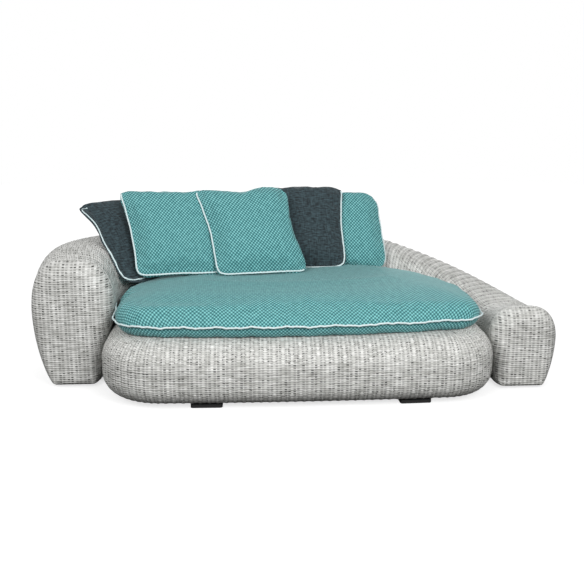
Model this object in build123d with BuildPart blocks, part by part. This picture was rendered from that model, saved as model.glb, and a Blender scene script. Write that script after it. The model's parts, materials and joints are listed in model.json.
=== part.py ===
"""Garden sofa: a woven seat pod held in a woven back that runs on into a high left arm and a low right arm.

X runs along the sofa, from the high arm to the low one, Y from the front to the back and Z up.
The origin is on the floor, at the middle of the overall width and depth. All sizes are in millimetres.
"""

import os
from math import atan2, cos, degrees, radians, sin

from build123d import *

os.makedirs("parts", exist_ok=True)

# Overall sizes and clearances
overall_width = 2440
overall_depth = 1300
floor_gap = 16
weave_wall = 7
weave_gap = 0.6
soft_gap = 0.3
bolt_clearance = 0.4
cut_overrun = 5

# Seat pod
pod_depth = 950
pod_height = 288
pod_top_roll = 128
pod_base_roll = 96
pod_bow = 26
pod_front_left_radius = 290
pod_front_right_radius = 250
pod_rear_left_radius = 400
pod_rear_right_radius = 600
pod_lip = 60

# Woven back: half widths and heights of its wall from the high left arm to the low right arm
pod_gap = 12
pod_hug = 132
foot_half_width = 124
left_half_width = 195
back_half_width = 178
right_half_width = 172
left_arm_height = 600
left_bend_height = 628
back_height = 622
right_arm_height = 385
right_dip_height = 358
left_arm_front = -290
right_arm_front = -430
arm_end_round = 80

# Aluminium frames under the weave
tube_size = 25
tube_wall = 2
rib_width = 20
rib_thickness = 5
rib_landing = 11
strap_landing = 12
strap_width = 60
strap_thickness = 2
strap_pitch = 150
strap_count = 4
bearer_spacing = 560
rail_width = 60
rail_clearance = 0.6
top_rail_width = 24
top_rail_height = 20
top_rail_drop = 1.2
hoop_count = 7

# Feet, glides and links
pad_length = 140
pad_depth = 110
pad_front_inset = 60
pad_round = 12
screw_diameter = 8
screw_head_diameter = 16
screw_head_height = 5
screw_length = 36
glide_diameter = 60
glide_stem_diameter = 36
link_width = 40
link_thickness = 4
link_overhang = 20
link_places = (-130, 120)

# Seat cushion
cushion_left_inset = 62
cushion_right_inset = 52
cushion_front_inset = 75
cushion_rear_inset = 30
cushion_left_bow = 50
cushion_right_bow = 95
cushion_front_left_radius = 190
cushion_front_right_radius = 130
cushion_rear_left_radius = 405
cushion_rear_right_radius = 565
cushion_seam_height = 56
cushion_crown = 100
cushion_belly_height = 26
cushion_base_inset = 34
cushion_belly_inset = 8
cushion_dome_reach = 400
cushion_skin = 3
core_gap = 0.8
corner_ease_share = 0.5
largest_corner_share = 0.7
piping_radius = 4
piping_sides = 6
seam_piping_gap = 0.9

# Zip in the rear edge of the seat cushion's cover
zip_length = 680
zip_tape_width = 22
zip_tape_thickness = 1
zip_chain_width = 5
zip_chain_height = 1.6
slider_length = 10
slider_width = 12
slider_wall = 1.4
slider_clearance = 0.3
pull_length = 22
pull_width = 7
pull_thickness = 1.2
pull_pin_diameter = 2
pull_pin_clearance = 0.2
bail_wall = 1.5

# Scatter pillows: where their bottom edges stand, their sizes, and how each slumps sideways, leans and turns
pillow_corner = 55
pillow_draw_in = 10
pillow_sizes = {
    "dark_pillow_left": dict(
        x=-659, y=61, z=446.0, width=390, height=415, thickness=46, slump=-88, lean=30, turn=48, cord_gap=1.8
    ),
    "teal_pillow_right": dict(
        x=283, y=233.5, z=457.5, width=450, height=402, thickness=92, slump=-30, lean=24, turn=-6, cord_gap=1.4
    ),
    "dark_pillow_right": dict(
        x=65, y=155, z=469.2, width=450, height=425, thickness=110, slump=-8, lean=25, turn=2, cord_gap=1.4
    ),
    "teal_pillow_left": dict(
        x=-549, y=-30, z=472.0, width=455, height=438, thickness=108, slump=-50, lean=25, turn=8, cord_gap=1.5
    ),
    "teal_pillow_middle": dict(
        x=-147, y=-21, z=469.4, width=455, height=445, thickness=125, slump=-80, lean=26, turn=8, cord_gap=1.6
    ),
}

# Places on the plan
left_line = -overall_width / 2 + left_half_width
right_line = overall_width / 2 - right_half_width
rear_line = overall_depth / 2 - back_half_width
pod_front = -overall_depth / 2
pod_rear = pod_front + pod_depth
pod_left = left_line + pod_hug + pod_gap
pod_right = right_line - pod_hug - pod_gap
pod_middle = (pod_left + pod_right) / 2
pod_top = floor_gap + pod_height
rib_inset = weave_wall + weave_gap
hoop_inset = pod_top_roll
upper_hoop_top = pod_top - rib_inset - rib_thickness
lower_hoop_base = floor_gap + rib_inset + rib_thickness
up = Vector(0, 0, 1)


def pod_plan(height, inset=0):
    """The pod's plan at a height, drawn in evenly by inset."""
    with BuildSketch(Plane.XY.offset(height)) as plan:
        with BuildLine():
            front = ThreePointArc(
                (pod_left, pod_front + pod_bow), (pod_middle, pod_front), (pod_right, pod_front + pod_bow)
            )
            Polyline(front @ 1, (pod_right, pod_rear), (pod_left, pod_rear), front @ 0)
        make_face()
        for corner, radius in (
            ((pod_left, pod_front), pod_front_left_radius),
            ((pod_right, pod_front), pod_front_right_radius),
            ((pod_left, pod_rear), pod_rear_left_radius),
            ((pod_right, pod_rear), pod_rear_right_radius),
        ):
            fillet(plan.vertices().sort_by_distance(corner)[0], radius)
        if inset:
            offset(amount=-inset, mode=Mode.REPLACE)
    return plan.sketch


def pod_drum(inset):
    """The pod's rounded drum, drawn in by inset on every side."""
    with BuildPart() as drum:
        add(pod_plan(floor_gap + inset, inset))
        extrude(amount=pod_height - 2 * inset)
        fillet(drum.faces().sort_by(Axis.Z)[-1].edges(), pod_top_roll - inset)
        fillet(drum.faces().sort_by(Axis.Z)[0].edges(), pod_base_roll - inset)
    return drum.part


def pod_ring(base, outer_inset, width, height):
    """A ring that follows the pod's plan, at a height of its own."""
    with BuildPart() as ring:
        add(pod_plan(base, outer_inset))
        extrude(amount=height)
        add(pod_plan(base, outer_inset + width))
        extrude(amount=height, mode=Mode.SUBTRACT)
    return ring.part


pod_outline = pod_plan(0).wires()[0]


def pod_spot(corner, share):
    """A flat plane on the outline's run nearest a corner, at a share from its left. X points outward."""
    run = pod_outline.edges().sort_by_distance(corner)[0]
    place = share if (run @ 0).X <= (run @ 1).X else 1 - share
    point, along = run @ place, run % place
    outward = along.cross(up)
    if outward.dot(point - Vector(pod_middle, (pod_front + pod_rear) / 2)) < 0:
        outward = outward * -1
    return Plane(origin=point, x_dir=outward, z_dir=up)


# Runs of the pod's outline, named by the point that each lies nearest
front_run = (pod_middle, pod_front)
rear_run = (pod_left + pod_rear_left_radius + pod_top_roll, pod_rear)
left_run = (pod_left, pod_rear - pod_rear_left_radius - pod_lip)
front_left_corner = (pod_left, pod_front)
front_right_corner = (pod_right, pod_front)
rear_left_corner = (pod_left, pod_rear)
rear_right_corner = (pod_right, pod_rear)

# Feet and links stand at these places of the frames
foot_shares = ((front_run, 0.155), (front_run, 0.89), (rear_run, 0.12), (rear_right_corner, 0.4))
foot_spots = [pod_spot(run, share) for run, share in foot_shares]
screw_inset = hoop_inset + tube_size / 2
foot_bolt_places = [spot.origin - spot.x_dir * screw_inset for spot in foot_spots]
link_hoop_places = [Vector(x, pod_rear - screw_inset) for x in link_places]
link_rail_places = [Vector(x, rear_line) for x in link_places]
frame_bolt_places = foot_bolt_places + link_hoop_places
bolt_hole_radius = screw_diameter / 2 + bolt_clearance


def bolt_holes(places, bottom, top):
    """Round holes for the bolts at some places, to be cut out of what they pass through."""
    with BuildPart() as holes:
        with BuildSketch(Plane.XY.offset(bottom)):
            with Locations(*[(place.X, place.Y) for place in places]):
                Circle(bolt_hole_radius)
        extrude(amount=top - bottom)
    return holes.part


# Woven skin of the pod, open underneath and under the cushion
opening_inset = pod_top_roll + pod_lip
with BuildPart() as pod_weave:
    add(pod_drum(0))
    add(pod_drum(weave_wall), mode=Mode.SUBTRACT)
    add(pod_plan(floor_gap - cut_overrun, opening_inset))
    extrude(amount=pod_height + 2 * cut_overrun, mode=Mode.SUBTRACT)
    holes = bolt_holes(frame_bolt_places, floor_gap - cut_overrun, floor_gap + weave_wall + cut_overrun)
    add(holes, mode=Mode.SUBTRACT)
pod_weave.part.label = "pod_weave"
export_step(pod_weave.part, "parts/pod_weave.step")

# Square tube hoops that carry the pod's weave
with BuildPart() as pod_upper_hoop:
    add(pod_ring(upper_hoop_top - tube_size, hoop_inset, tube_size, tube_size))
    add(
        pod_ring(
            upper_hoop_top - tube_size + tube_wall,
            hoop_inset + tube_wall,
            tube_size - 2 * tube_wall,
            tube_size - 2 * tube_wall,
        ),
        mode=Mode.SUBTRACT,
    )
pod_upper_hoop.part.label = "pod_upper_hoop"
export_step(pod_upper_hoop.part, "parts/pod_upper_hoop.step")

with BuildPart() as pod_lower_hoop:
    add(pod_ring(lower_hoop_base, hoop_inset, tube_size, tube_size))
    add(
        pod_ring(
            lower_hoop_base + tube_wall,
            hoop_inset + tube_wall,
            tube_size - 2 * tube_wall,
            tube_size - 2 * tube_wall,
        ),
        mode=Mode.SUBTRACT,
    )
    hole_top = lower_hoop_base + tube_wall + cut_overrun
    add(bolt_holes(frame_bolt_places, lower_hoop_base - cut_overrun, hole_top), mode=Mode.SUBTRACT)
pod_lower_hoop.part.label = "pod_lower_hoop"
export_step(pod_lower_hoop.part, "parts/pod_lower_hoop.step")


def rib_outline(inset, reach):
    """The pod's side profile drawn in by inset, from the outline inward as far as reach. X points outward."""
    base, top = floor_gap + inset, pod_top - inset
    with BuildSketch() as profile:
        with BuildLine():
            Polyline((-reach, base), (-inset, base), (-inset, top), (-reach, top), close=True)
        make_face()
        corners = profile.vertices().group_by(Axis.X)[-1].sort_by(Axis.Y)
        fillet(corners[0], pod_base_roll - inset)
        corners = profile.vertices().sort_by_distance((-inset, top))
        fillet(corners[0], pod_top_roll - inset)
    return profile.sketch


# Bent flat bars that hold the weave to its rolled shape and join the two hoops
rib_reach = hoop_inset + rib_landing
rib_shares = (
    (front_run, 0.04),
    (front_run, 0.5),
    (front_run, 0.97),
    (rear_run, 0.3),
    (rear_run, 0.85),
    (left_run, 0.5),
    (front_left_corner, 0.45),
    (front_right_corner, 0.55),
    (rear_left_corner, 0.5),
    (rear_right_corner, 0.75),
)
for count, (run, share) in enumerate(rib_shares, start=1):
    spot = pod_spot(run, share)
    with BuildPart() as pod_rib:
        with BuildSketch(Plane(origin=spot.origin, x_dir=spot.x_dir, z_dir=spot.x_dir.cross(up))):
            add(rib_outline(rib_inset, rib_reach))
            add(rib_outline(rib_inset + rib_thickness, rib_reach + cut_overrun), mode=Mode.SUBTRACT)
        extrude(amount=rib_width / 2, both=True)
    pod_rib.part.label = f"pod_rib_{count}"
    export_step(pod_rib.part, f"parts/pod_rib_{count}.step")

# Seat deck: two bearers across the upper hoop and webbing straps along it
bearer_places = (("left", pod_middle - bearer_spacing / 2), ("right", pod_middle + bearer_spacing / 2))
for side, x in bearer_places:
    with BuildPart() as deck_bearer:
        add(pod_plan(upper_hoop_top - tube_size, hoop_inset + tube_size))
        extrude(amount=tube_size)
        with BuildSketch(Plane.XZ.offset(-pod_rear)):
            with Locations((x, upper_hoop_top - tube_size / 2)):
                Rectangle(tube_size, tube_size)
                Rectangle(tube_size - 2 * tube_wall, tube_size - 2 * tube_wall, mode=Mode.SUBTRACT)
        extrude(amount=pod_depth, mode=Mode.INTERSECT)
    deck_bearer.part.label = f"deck_bearer_{side}"
    export_step(deck_bearer.part, f"parts/deck_bearer_{side}.step")

strap_middle = (pod_front + pod_rear) / 2
strap_inset = hoop_inset + tube_size - strap_landing
for count in range(strap_count):
    y = strap_middle + (count - (strap_count - 1) / 2) * strap_pitch
    with BuildPart() as seat_strap:
        add(pod_plan(upper_hoop_top, strap_inset))
        extrude(amount=strap_thickness)
        with BuildSketch(Plane.XY.offset(upper_hoop_top)):
            with Locations((pod_middle, y)):
                Rectangle(overall_width, strap_width)
        extrude(amount=strap_thickness, mode=Mode.INTERSECT)
    seat_strap.part.label = f"seat_strap_{count + 1}"
    export_step(seat_strap.part, f"parts/seat_strap_{count + 1}.step")

# Foot pads under the pod, each held by a screw into the lower hoop
for count, spot in enumerate(foot_spots, start=1):
    with BuildPart() as foot_pad:
        with BuildSketch(Plane(origin=spot.origin, x_dir=spot.x_dir, z_dir=up)):
            with Locations((-pad_front_inset - pad_depth / 2, 0)):
                RectangleRounded(pad_depth, pad_length, pad_round)
        extrude(amount=floor_gap)
        add(bolt_holes(foot_bolt_places[count - 1 : count], 0, floor_gap), mode=Mode.SUBTRACT)
        with BuildSketch():
            with Locations((foot_bolt_places[count - 1].X, foot_bolt_places[count - 1].Y)):
                Circle(screw_head_diameter / 2 + bolt_clearance)
        extrude(amount=screw_head_height + bolt_clearance, mode=Mode.SUBTRACT)
    foot_pad.part.label = f"foot_pad_{count}"
    export_step(foot_pad.part, f"parts/foot_pad_{count}.step")

with BuildPart() as foot_screws:
    for place in foot_bolt_places:
        with BuildSketch(Plane.XY.offset(bolt_clearance)):
            with Locations((place.X, place.Y)):
                Circle(screw_head_diameter / 2)
        extrude(amount=screw_head_height)
        with BuildSketch(Plane.XY.offset(bolt_clearance)):
            with Locations((place.X, place.Y)):
                Circle(screw_diameter / 2)
        extrude(amount=screw_length)
foot_screws.part.label = "foot_screws"
export_step(foot_screws.part, "parts/foot_screws.step")

# Line on the floor that the woven back follows, from the left arm to the right one
left_bend_radius = pod_rear_left_radius + pod_hug + pod_gap
right_bend_radius = pod_rear_right_radius + pod_hug + pod_gap


def back_line(trim=0):
    """The back's centre line, shortened by trim at both arms."""
    with BuildLine() as line:
        left_side = Line((left_line, left_arm_front + trim), (left_line, rear_line - left_bend_radius))
        left_bend = RadiusArc(left_side @ 1, (left_line + left_bend_radius, rear_line), left_bend_radius)
        rear_side = Line(left_bend @ 1, (right_line - right_bend_radius, rear_line))
        right_bend = RadiusArc(rear_side @ 1, (right_line, rear_line - right_bend_radius), right_bend_radius)
        Line(right_bend @ 1, (right_line, right_arm_front + trim))
    return line.wires()[0]


path = back_line()
left_side_length = rear_line - left_bend_radius - left_arm_front
left_bend_length = radians(90) * left_bend_radius
rear_side_length = right_line - right_bend_radius - left_line - left_bend_radius
right_bend_length = radians(90) * right_bend_radius
rear_start = left_side_length + left_bend_length
rear_end = rear_start + rear_side_length
drop = back_height - right_dip_height

# Where the wall's section is drawn along the back line, with its half width and height there
fall_start_share = 0.955
falling_shares = ((0.25, 0.65, 0.98), (0.5, 0.3, 0.95), (0.75, 0.0, 1.0))
stations = [
    (0, left_half_width, left_arm_height),
    (left_side_length, left_half_width, left_bend_height),
    (left_side_length + left_bend_length / 2, (left_half_width + back_half_width) / 2, back_height),
    (rear_start, back_half_width, back_height),
    ((rear_start + rear_end) / 2, back_half_width, back_height),
    (rear_end, back_half_width, right_dip_height + fall_start_share * drop),
]
for bend_share, drop_share, width_share in falling_shares:
    width = back_half_width + (right_half_width - back_half_width) * bend_share
    stations.append(
        (rear_end + bend_share * right_bend_length, width_share * width, right_dip_height + drop_share * drop)
    )
stations.append((rear_end + right_bend_length, right_half_width, right_dip_height))
stations.append((path.length, right_half_width, right_arm_height))

# The wall's outline over its top, as shares of its half width and height, from the outside to the pod
outer_shares = ((1.0, 0.48), (0.95, 0.77), (0.66, 0.95), (0.0, 1.0))
inner_shares = ((0.66, 0.95), (0.95, 0.79), (1.0, 0.62))
low_inner_share = 0.86
belly_share, belly_height_share = 0.62, 0.2
foot_narrowing_share = 0.3

# Steps round the quarter turn at the end of each arm, in degrees
end_angles = (0, 30, 60, 90)


def wall_plane(length):
    """An upright plane across the back line, with X pointing away from the pod and Y up."""
    point, along = path @ (length / path.length), path % (length / path.length)
    return Plane(origin=(point.X, point.Y, floor_gap), x_dir=(-along.Y, along.X, 0), z_dir=along)


def wall_section(length, half_width, height, inset, narrowing=0):
    """The wall's section at a place along the back line, drawn in by inset. Narrowing spares its floor."""
    draw_in = inset + narrowing
    width, rise, hug = half_width - draw_in, height - floor_gap - draw_in, pod_hug - draw_in
    foot = foot_half_width - inset - foot_narrowing_share * narrowing
    lowness = min(max(back_height - height, 0) / drop, 1)
    inner_width = width * (1 - (1 - low_inner_share) * lowness)
    with BuildSketch(wall_plane(length)) as section:
        with BuildLine():
            over = Spline(
                (foot, inset),
                (foot + belly_share * (width - foot), belly_height_share * rise),
                *[(width * across, rise * high) for across, high in outer_shares],
                *[(-inner_width * across, rise * high) for across, high in inner_shares],
                (-hug, pod_height / 2),
                (-foot, inset),
            )
            Line(over @ 1, over @ 0)
        make_face()
    return section.sketch


def wall_form(inset):
    """The back as one solid, drawn in by inset on every side, with both arm ends rounded."""
    reach = arm_end_round - inset
    steps = [(reach * (1 - cos(angle)), reach * (1 - sin(angle))) for angle in map(radians, end_angles)]
    with BuildPart() as left_cap:
        for along, narrowing in steps:
            add(wall_section(inset + along, left_half_width, left_arm_height, inset, narrowing))
        loft()
    with BuildPart() as right_cap:
        for along, narrowing in steps:
            place = path.length - inset - along
            add(wall_section(place, right_half_width, right_arm_height, inset, narrowing))
        loft()
    with BuildPart() as wall:
        for length, half_width, height in stations:
            place = min(max(length, arm_end_round), path.length - arm_end_round)
            add(wall_section(place, half_width, height, inset))
        loft()
        add(left_cap.part)
        add(right_cap.part)
    return wall.part


wall_solid = wall_form(0)

# Hoops stand evenly along the back, with a glide halfway between each two
rail_trim = arm_end_round + rail_clearance
rail_base = floor_gap + rib_inset + rib_thickness
hoop_step = (path.length - 2 * rail_trim - rib_width) / (hoop_count - 1)
hoop_places = [rail_trim + rib_width / 2 + count * hoop_step for count in range(hoop_count)]
glide_places = [path @ ((place + hoop_step / 2) / path.length) for place in hoop_places[:-1]]

# Woven skin of the back, with holes underneath for the glides and the link bolts
with BuildPart() as back_weave:
    add(wall_solid)
    add(wall_form(weave_wall), mode=Mode.SUBTRACT)
    with BuildSketch(Plane.XY.offset(floor_gap - cut_overrun)):
        with Locations(*glide_places):
            Circle(glide_stem_diameter / 2 + bolt_clearance)
    extrude(amount=weave_wall + 2 * cut_overrun, mode=Mode.SUBTRACT)
    holes = bolt_holes(link_rail_places, floor_gap - cut_overrun, floor_gap + weave_wall + cut_overrun)
    add(holes, mode=Mode.SUBTRACT)
back_weave.part.label = "back_weave"
export_step(back_weave.part, "parts/back_weave.step")

# Rails along the bottom and the top of the back
with BuildPart() as back_floor_rail:
    with BuildSketch(Plane.XY.offset(rail_base)):
        trace(back_line(rail_trim), line_width=rail_width)
    extrude(amount=tube_size)
    with BuildSketch(Plane.XY.offset(rail_base + tube_wall)):
        trace(back_line(rail_trim), line_width=rail_width - 2 * tube_wall)
    extrude(amount=tube_size - 2 * tube_wall, mode=Mode.SUBTRACT)
    hole_top = rail_base + tube_wall + cut_overrun
    add(bolt_holes(link_rail_places, rail_base - cut_overrun, hole_top), mode=Mode.SUBTRACT)
back_floor_rail.part.label = "back_floor_rail"
export_step(back_floor_rail.part, "parts/back_floor_rail.step")

with BuildPart() as back_top_rail:
    for length, half_width, height in stations:
        place = min(max(length, rail_trim), path.length - rail_trim)
        top = height - floor_gap - rib_inset - rib_thickness - top_rail_drop
        with BuildSketch(wall_plane(place)):
            with Locations((0, top - top_rail_height / 2)):
                Rectangle(top_rail_width, top_rail_height)
    loft()
back_top_rail.part.label = "back_top_rail"
export_step(back_top_rail.part, "parts/back_top_rail.step")

# Flat bar hoops across the back, between the two rails
rib_outside = wall_form(rib_inset)
rib_inside = wall_form(rib_inset + rib_thickness)
for count, place in enumerate(hoop_places, start=1):
    with BuildPart() as back_hoop:
        with BuildSketch(wall_plane(place)):
            Rectangle(3 * left_half_width, 3 * back_height)
        extrude(amount=rib_width / 2, both=True)
        add(rib_outside, mode=Mode.INTERSECT)
        add(rib_inside, mode=Mode.SUBTRACT)
    back_hoop.part.label = f"back_hoop_{count}"
    export_step(back_hoop.part, f"parts/back_hoop_{count}.step")

# Glides up through the weave to the floor rail
for count, place in enumerate(glide_places, start=1):
    with BuildPart() as back_glide:
        with BuildSketch():
            with Locations((place.X, place.Y)):
                Circle(glide_diameter / 2)
        extrude(amount=floor_gap)
        with BuildSketch():
            with Locations((place.X, place.Y)):
                Circle(glide_stem_diameter / 2)
        extrude(amount=rail_base)
    back_glide.part.label = f"back_glide_{count}"
    export_step(back_glide.part, f"parts/back_glide_{count}.step")

# Flat links that hold the pod in the back, bolted up into both frames
for side, x in zip(("left", "right"), link_places):
    link_length = rear_line - (pod_rear - screw_inset) + 2 * link_overhang
    with BuildPart() as link_bar:
        with BuildSketch(Plane.XY.offset(floor_gap - link_thickness)):
            with Locations((x, rear_line + link_overhang - link_length / 2)):
                RectangleRounded(link_width, link_length, link_overhang - bolt_clearance)
        extrude(amount=link_thickness)
        add(bolt_holes(link_rail_places + link_hoop_places, 0, floor_gap), mode=Mode.SUBTRACT)
    link_bar.part.label = f"link_bar_{side}"
    export_step(link_bar.part, f"parts/link_bar_{side}.step")

with BuildPart() as link_bolts:
    for place in link_hoop_places + link_rail_places:
        with BuildSketch(Plane.XY.offset(floor_gap - link_thickness - screw_head_height)):
            with Locations((place.X, place.Y)):
                Circle(screw_head_diameter / 2)
        extrude(amount=screw_head_height)
        with BuildSketch(Plane.XY.offset(floor_gap - link_thickness - screw_head_height)):
            with Locations((place.X, place.Y)):
                Circle(screw_diameter / 2)
        extrude(amount=screw_length)
link_bolts.part.label = "link_bolts"
export_step(link_bolts.part, "parts/link_bolts.step")

# Seat cushion
cushion_left = pod_left + cushion_left_inset
cushion_right = pod_right - cushion_right_inset
cushion_front = pod_front + cushion_front_inset
cushion_rear = pod_rear - cushion_rear_inset
cushion_base = pod_top + soft_gap
seam_level = cushion_base + cushion_seam_height
dome_rear_share = 0.2

# How far the dome has drawn in and risen above the seam, as shares of its reach and crown
dome_shares = ((0.035, 0.24), (0.095, 0.42), (0.2, 0.6), (0.35, 0.76), (0.55, 0.89), (0.8, 0.97), (1.0, 1.0))


def cushion_plan(height, inset, rear_share=1):
    """The seat cushion's plan at a height. It draws in less along the rear edge, by the rear share."""
    left, right = cushion_left + inset, cushion_right - inset
    front, rear = cushion_front + inset, cushion_rear - rear_share * inset
    ease = corner_ease_share * inset
    with BuildSketch(Plane.XY.offset(height)) as plan:
        with BuildLine():
            edge = ThreePointArc(
                (left, front + cushion_left_bow),
                ((left + right) / 2, front),
                (right, front + cushion_right_bow),
            )
            Polyline(edge @ 1, (right, rear), (left, rear), edge @ 0)
        make_face()
        for corner, radius in (
            ((left, front), cushion_front_left_radius),
            ((right, front), cushion_front_right_radius),
            ((left, rear), cushion_rear_left_radius),
            ((right, rear), cushion_rear_right_radius),
        ):
            largest = largest_corner_share * (rear - front - cushion_right_bow)
            fillet(plan.vertices().sort_by_distance(corner)[0], min(max(radius - ease, radius / 2), largest))
    return plan.sketch


def cushion_form(skin):
    """The cushion as one solid, a skin's thickness inside its cover."""
    with BuildPart() as lower:
        add(cushion_plan(cushion_base + skin, cushion_base_inset + skin))
        add(cushion_plan(cushion_base + cushion_belly_height, cushion_belly_inset + skin))
        add(cushion_plan(seam_level, skin))
        loft(ruled=True)
    with BuildPart() as upper:
        add(cushion_plan(seam_level, skin))
        for reach, rise in dome_shares:
            level = seam_level + rise * cushion_crown - skin
            add(cushion_plan(level, cushion_dome_reach * reach + skin, dome_rear_share))
        loft()
    with BuildPart() as form:
        add(lower.part)
        add(upper.part)
    return form.part


cushion_solid = cushion_form(0)
with BuildPart() as seat_cushion_cover:
    add(cushion_solid)
    add(cushion_form(cushion_skin), mode=Mode.SUBTRACT)
seat_cushion_cover.part.label = "seat_cushion_cover"
export_step(seat_cushion_cover.part, "parts/seat_cushion_cover.step")

# The core is the cover's hollow drawn in towards the middle of the seam's plane, which leaves its gap all round.
# Its top is level, below the low rim that the hollow has round the flat middle of its dome.
core_plan_share = 1 - 2 * core_gap / (cushion_rear - cushion_front)
core_height_share = 1 - core_gap / (cushion_seam_height - cushion_skin)
core_shares = (core_plan_share, core_plan_share, core_height_share)
core_middle = ((cushion_left + cushion_right) / 2, (cushion_front + cushion_rear) / 2, seam_level)
core_top = seam_level + core_height_share * (cushion_crown - cushion_skin) - core_gap
hollow = scale(cushion_form(cushion_skin), by=core_shares)
with BuildPart() as seat_cushion_core:
    with Locations(tuple(place * (1 - share) for place, share in zip(core_middle, core_shares))):
        add(hollow)
    split(bisect_by=Plane.XY.offset(core_top), keep=Keep.BOTTOM)
seat_cushion_core.part.label = "seat_cushion_core"
export_step(seat_cushion_core.part, "parts/seat_cushion_core.step")

with BuildPart() as seat_cushion_piping:
    seam = cushion_plan(seam_level, -piping_radius - seam_piping_gap).wires()[0]
    start, along = seam @ 0, seam % 0
    with BuildSketch(Plane(origin=start, z_dir=along)):
        RegularPolygon(piping_radius, piping_sides)
    sweep(path=seam)
seat_cushion_piping.part.label = "seat_cushion_piping"
export_step(seat_cushion_piping.part, "parts/seat_cushion_piping.step")

# Zip below the piping, on the straight part of the cover's rear edge, along its drawn-in lower panel
panel_rise = cushion_seam_height - cushion_belly_height
panel_tilt = degrees(atan2(cushion_belly_inset, panel_rise))
zip_middle = (cushion_left + cushion_rear_left_radius + cushion_right - cushion_rear_right_radius) / 2
zip_drop = piping_radius + soft_gap + zip_tape_width / 2
zip_plane = Plane(
    origin=(zip_middle, cushion_rear - cushion_belly_inset * zip_drop / panel_rise, seam_level - zip_drop),
    x_dir=(1, 0, 0),
    z_dir=(0, cos(radians(panel_tilt)), -sin(radians(panel_tilt))),
).offset(soft_gap)
chain_plane = zip_plane.offset(zip_tape_thickness)
with BuildPart() as zip_tape:
    with BuildSketch(zip_plane):
        Rectangle(zip_length, zip_tape_width)
    extrude(amount=zip_tape_thickness)
    with BuildSketch(chain_plane):
        Rectangle(zip_length, zip_chain_width)
    extrude(amount=zip_chain_height)
zip_tape.part.label = "zip_tape"
export_step(zip_tape.part, "parts/zip_tape.step")

# Zip slider, a channel over the chain with a bail for the pull. It rests at the closed end.
slider_start = -zip_length / 2 + slider_length
slider_plane = chain_plane.offset(slider_clearance)
slider_height = zip_chain_height + slider_wall
bail_height = pull_pin_diameter + 2 * bail_wall
pin_place = slider_start - slider_length / 2 + bail_height / 2
pin_level = slider_height + bail_height / 2
pull_room = pull_width + 2 * slider_clearance
with BuildPart() as zip_slider:
    with BuildSketch(slider_plane):
        with Locations((slider_start, 0)):
            RectangleRounded(slider_length, slider_width, slider_wall)
    extrude(amount=slider_height)
    with BuildSketch(slider_plane):
        with Locations((slider_start, 0)):
            Rectangle(2 * slider_length, zip_chain_width + 2 * slider_clearance)
    extrude(amount=zip_chain_height, mode=Mode.SUBTRACT)
    with BuildSketch(slider_plane.offset(slider_height)):
        with Locations((pin_place, 0)):
            Rectangle(bail_height, pull_room + 2 * bail_wall)
            Rectangle(bail_height, pull_room, mode=Mode.SUBTRACT)
    extrude(amount=bail_height)
    with BuildSketch(Plane(origin=slider_plane.origin, x_dir=slider_plane.x_dir, z_dir=slider_plane.y_dir)):
        with Locations((pin_place, -pin_level)):
            Circle(pull_pin_diameter / 2 + pull_pin_clearance)
    extrude(amount=slider_width, both=True, mode=Mode.SUBTRACT)
zip_slider.part.label = "zip_slider"
export_step(zip_slider.part, "parts/zip_slider.step")

# Pull of the slider: a tab on a pin between the two cheeks, lying along the chain
with BuildPart() as zip_pull:
    with BuildSketch(Plane(origin=slider_plane.origin, x_dir=slider_plane.x_dir, z_dir=slider_plane.y_dir)):
        with Locations((pin_place, -pin_level)):
            Circle(pull_pin_diameter / 2)
    extrude(amount=pull_room / 2 + bail_wall, both=True)
    with BuildSketch(slider_plane.offset(pin_level - pull_thickness / 2)):
        with Locations((pin_place + pull_length / 2, 0)):
            RectangleRounded(pull_length, pull_width, pull_pin_diameter)
    extrude(amount=pull_thickness)
zip_pull.part.label = "zip_pull"
export_step(zip_pull.part, "parts/zip_pull.step")


def pillow_seam(size, out=0):
    """A pillow's seam line, drawn outward by out, upright in the XZ plane with its bottom edge on X."""
    half, height, slump = size["width"] / 2, size["height"], size["slump"]
    middle = half - pillow_draw_in
    right_corners = ((half, 0), (middle, height / 2), (half, height))
    left_corners = ((-half, height), (-middle, height / 2), (-half, 0))
    with BuildSketch(Plane.XZ) as panel:
        with BuildLine():
            FilletPolyline(
                *[(across + slump * level / height, level) for across, level in right_corners + left_corners],
                radius=[pillow_corner, height, pillow_corner, pillow_corner, height, pillow_corner],
                close=True,
            )
        make_face()
        if out:
            offset(amount=out, mode=Mode.REPLACE)
    return panel.sketch.faces()[0]


# Rise of the pillow's sections, first as angles round its corner, and its fullness at each section
corner_angles = (15, 40, 65, 90)
rise_shares = (0.2, 0.3, 0.4, 0.5)
fullness_shares = (0.06, 0.26, 0.42, 0.56, 0.72, 0.87, 0.97, 1.0)


def pillow_form(size):
    """A pillow standing on its bottom edge, facing the front, with two crowned panels that meet in a seam."""
    panel = pillow_seam(size)
    levels = [pillow_corner * (1 - cos(radians(angle))) for angle in corner_angles]
    levels += [share * size["height"] for share in rise_shares]
    rising = list(zip(levels, fullness_shares))
    falling = [(size["height"] - level, share) for level, share in reversed(rising[:-1])]
    with BuildPart() as form:
        for level, share in rising + falling:
            chord = panel & Edge.make_line((-overall_width, 0, level), (overall_width, 0, level))
            box = chord.bounding_box()
            middle, bulge = (box.min.X + box.max.X) / 2, share * size["thickness"] / 2
            with BuildSketch(Plane.XY.offset(level)):
                with BuildLine():
                    ThreePointArc((box.min.X, 0), (middle, -bulge), (box.max.X, 0))
                    ThreePointArc((box.max.X, 0), (middle, bulge), (box.min.X, 0))
                make_face()
        loft()
    return form.part


def pillow_piping(size):
    """The cord sewn round a pillow's seam."""
    run = pillow_seam(size, piping_radius + size["cord_gap"]).outer_wire()
    with BuildPart() as cord:
        with BuildSketch(Plane(origin=run @ 0, z_dir=run % 0)):
            RegularPolygon(piping_radius, piping_sides)
        sweep(path=run)
    return cord.part


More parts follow.
